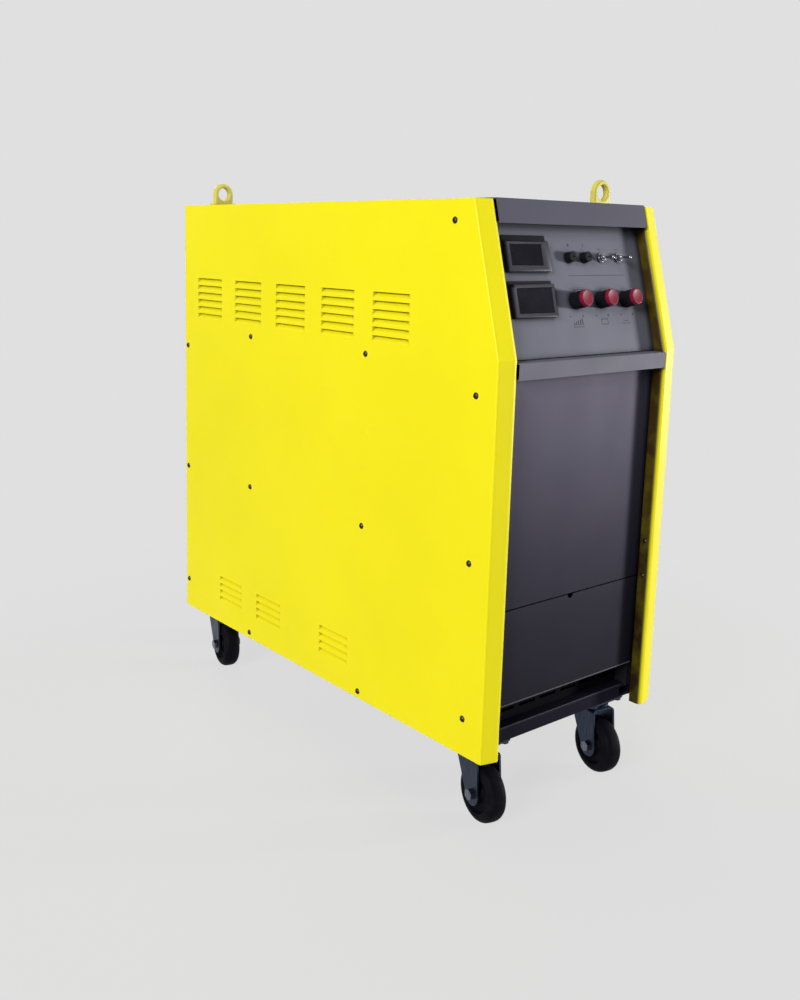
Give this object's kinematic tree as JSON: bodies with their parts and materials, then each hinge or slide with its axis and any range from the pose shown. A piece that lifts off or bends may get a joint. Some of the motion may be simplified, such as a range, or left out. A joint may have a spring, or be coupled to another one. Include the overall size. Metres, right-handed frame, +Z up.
{
  "type": "plasma cutter power source",
  "caption": "Tall wheeled steel power source for plasma cutting: folded side covers, recessed front, leaning control panel with meters and knobs, swivel casters, lifting eyes.",
  "frame": {"origin": "on the floor, under the middle of the whole part's bounding box", "axes": "+Z up, +X to the right as seen from the front, +Y from the front towards the rear"},
  "size_m": [0.4328, 0.945, 1.048],
  "materials": {
    "yellow_paint": "gloss",
    "top_grey_paint": "satin",
    "panel_grey_paint": "satin",
    "bar_grey_paint": "satin",
    "front_grey_paint": "satin",
    "black_paint": "satin",
    "frame_paint": "matte",
    "zinc_steel": "satin",
    "dark_screw": "satin",
    "core_steel": "matte",
    "chrome": "polished",
    "aluminium": "satin",
    "brass": "satin",
    "winding": "matte",
    "black_plastic": "matte",
    "red_plastic": "gloss",
    "window_plastic": "gloss",
    "board": "matte",
    "wheel_rubber": "matte"
  },
  "bodies": {
    "cabinet": {"left_cover": "yellow_paint", "right_cover": "yellow_paint", "cover_screws": "dark_screw", "frame_posts": "frame_paint", "frame_rails": "frame_paint", "base_channels": "black_paint", "floor_plate": "black_paint", "top_cover": "top_grey_paint", "lifting_eyes": "yellow_paint", "caster_plates": "zinc_steel", "caster_bolts": "zinc_steel", "middle_bar": "bar_grey_paint", "upper_front_panel": "front_grey_paint", "lower_front_panel": "front_grey_paint", "panel_screws": "dark_screw", "control_panel": "panel_grey_paint", "meter_housings": "black_plastic", "meter_windows": "window_plastic", "meter_strips": "black_plastic", "potentiometers": "zinc_steel", "fuse_holders": "black_plastic", "toggle_bodies": "chrome", "rear_panel": "front_grey_paint", "cable_gland": "black_plastic", "intake_grille": "black_paint", "shelf": "frame_paint", "fan_motor": "aluminium", "transformer_core": "core_steel", "transformer_coils": "winding", "transformer_clamps": "zinc_steel", "choke_core": "core_steel", "choke_coils": "winding", "heat_sink": "aluminium", "contactor": "black_plastic", "control_board": "board", "output_board": "board", "output_studs": "brass"},
    "swivel_front_left": {"caster_fork_front_left": "zinc_steel", "caster_axle_front_left": "zinc_steel"},
    "rolling_wheel_front_left": {"wheel_front_left": "wheel_rubber"},
    "swivel_front_right": {"caster_fork_front_right": "zinc_steel", "caster_axle_front_right": "zinc_steel"},
    "rolling_wheel_front_right": {"wheel_front_right": "wheel_rubber"},
    "swivel_rear_left": {"caster_fork_rear_left": "zinc_steel", "caster_axle_rear_left": "zinc_steel"},
    "rolling_wheel_rear_left": {"wheel_rear_left": "wheel_rubber"},
    "swivel_rear_right": {"caster_fork_rear_right": "zinc_steel", "caster_axle_rear_right": "zinc_steel"},
    "rolling_wheel_rear_right": {"wheel_rear_right": "wheel_rubber"},
    "dial_left": {"knob_left": "black_plastic", "knob_cap_left": "red_plastic"},
    "dial_middle": {"knob_middle": "black_plastic", "knob_cap_middle": "red_plastic"},
    "dial_right": {"knob_right": "black_plastic", "knob_cap_right": "red_plastic"},
    "switch_left": {"toggle_lever_left": "chrome"},
    "switch_right": {"toggle_lever_right": "chrome"},
    "fuse_left": {"fuse_cap_left": "black_plastic"},
    "fuse_right": {"fuse_cap_right": "black_plastic"},
    "fan": {"fan_rotor": "black_plastic"}
  },
  "joints": [
    {"name": "caster_swivel_front_left", "type": "hinge", "parent": "cabinet", "child": "swivel_front_left", "pos_m": [-0.146, -0.3915, 0.11975], "axis": [0, 0, 1], "continuous": true},
    {"name": "wheel_roll_front_left", "type": "hinge", "parent": "swivel_front_left", "child": "rolling_wheel_front_left", "pos_m": [-0.15057, -0.41302, 0.05], "axis": [0.9781, -0.2079, 0], "continuous": true},
    {"name": "caster_swivel_front_right", "type": "hinge", "parent": "cabinet", "child": "swivel_front_right", "pos_m": [0.146, -0.3915, 0.11975], "axis": [0, 0, 1], "continuous": true},
    {"name": "wheel_roll_front_right", "type": "hinge", "parent": "swivel_front_right", "child": "rolling_wheel_front_right", "pos_m": [0.14143, -0.41302, 0.05], "axis": [0.9781, -0.2079, 0], "continuous": true},
    {"name": "caster_swivel_rear_left", "type": "hinge", "parent": "cabinet", "child": "swivel_rear_left", "pos_m": [-0.146, 0.4065, 0.11975], "axis": [0, 0, 1], "continuous": true},
    {"name": "wheel_roll_rear_left", "type": "hinge", "parent": "swivel_rear_left", "child": "rolling_wheel_rear_left", "pos_m": [-0.15057, 0.38498, 0.05], "axis": [0.9781, -0.2079, 0], "continuous": true},
    {"name": "caster_swivel_rear_right", "type": "hinge", "parent": "cabinet", "child": "swivel_rear_right", "pos_m": [0.146, 0.4065, 0.11975], "axis": [0, 0, 1], "continuous": true},
    {"name": "wheel_roll_rear_right", "type": "hinge", "parent": "swivel_rear_right", "child": "rolling_wheel_rear_right", "pos_m": [0.14143, 0.38498, 0.05], "axis": [0.9781, -0.2079, 0], "continuous": true},
    {"name": "dial_turn_left", "type": "hinge", "parent": "cabinet", "child": "dial_left", "pos_m": [-0.006, -0.43475, 0.85258], "axis": [0, -0.9661, 0.2582], "range_deg": [-150, 150]},
    {"name": "dial_turn_middle", "type": "hinge", "parent": "cabinet", "child": "dial_middle", "pos_m": [0.057, -0.43475, 0.85258], "axis": [0, -0.9661, 0.2582], "range_deg": [-150, 150]},
    {"name": "dial_turn_right", "type": "hinge", "parent": "cabinet", "child": "dial_right", "pos_m": [0.12, -0.43475, 0.85258], "axis": [0, -0.9661, 0.2582], "range_deg": [-150, 150]},
    {"name": "toggle_tip_left", "type": "hinge", "parent": "cabinet", "child": "switch_left", "pos_m": [0.073, -0.41491, 0.91907], "axis": [-1, 0, 0], "range_deg": [0, 28]},
    {"name": "toggle_tip_right", "type": "hinge", "parent": "cabinet", "child": "switch_right", "pos_m": [0.117, -0.41491, 0.91907], "axis": [-1, 0, 0], "range_deg": [0, 28]},
    {"name": "fuse_cap_turn_left", "type": "hinge", "parent": "cabinet", "child": "fuse_left", "pos_m": [-0.007, -0.41298, 0.91855], "axis": [0, -0.9661, 0.2582], "range_deg": [0, 60]},
    {"name": "fuse_cap_turn_right", "type": "hinge", "parent": "cabinet", "child": "fuse_right", "pos_m": [0.031, -0.41298, 0.91855], "axis": [0, -0.9661, 0.2582], "range_deg": [0, 60]},
    {"name": "fan_spin", "type": "hinge", "parent": "cabinet", "child": "fan", "pos_m": [0, 0.1075, 0.797], "axis": [0, 0, 1], "continuous": true}
  ]
}
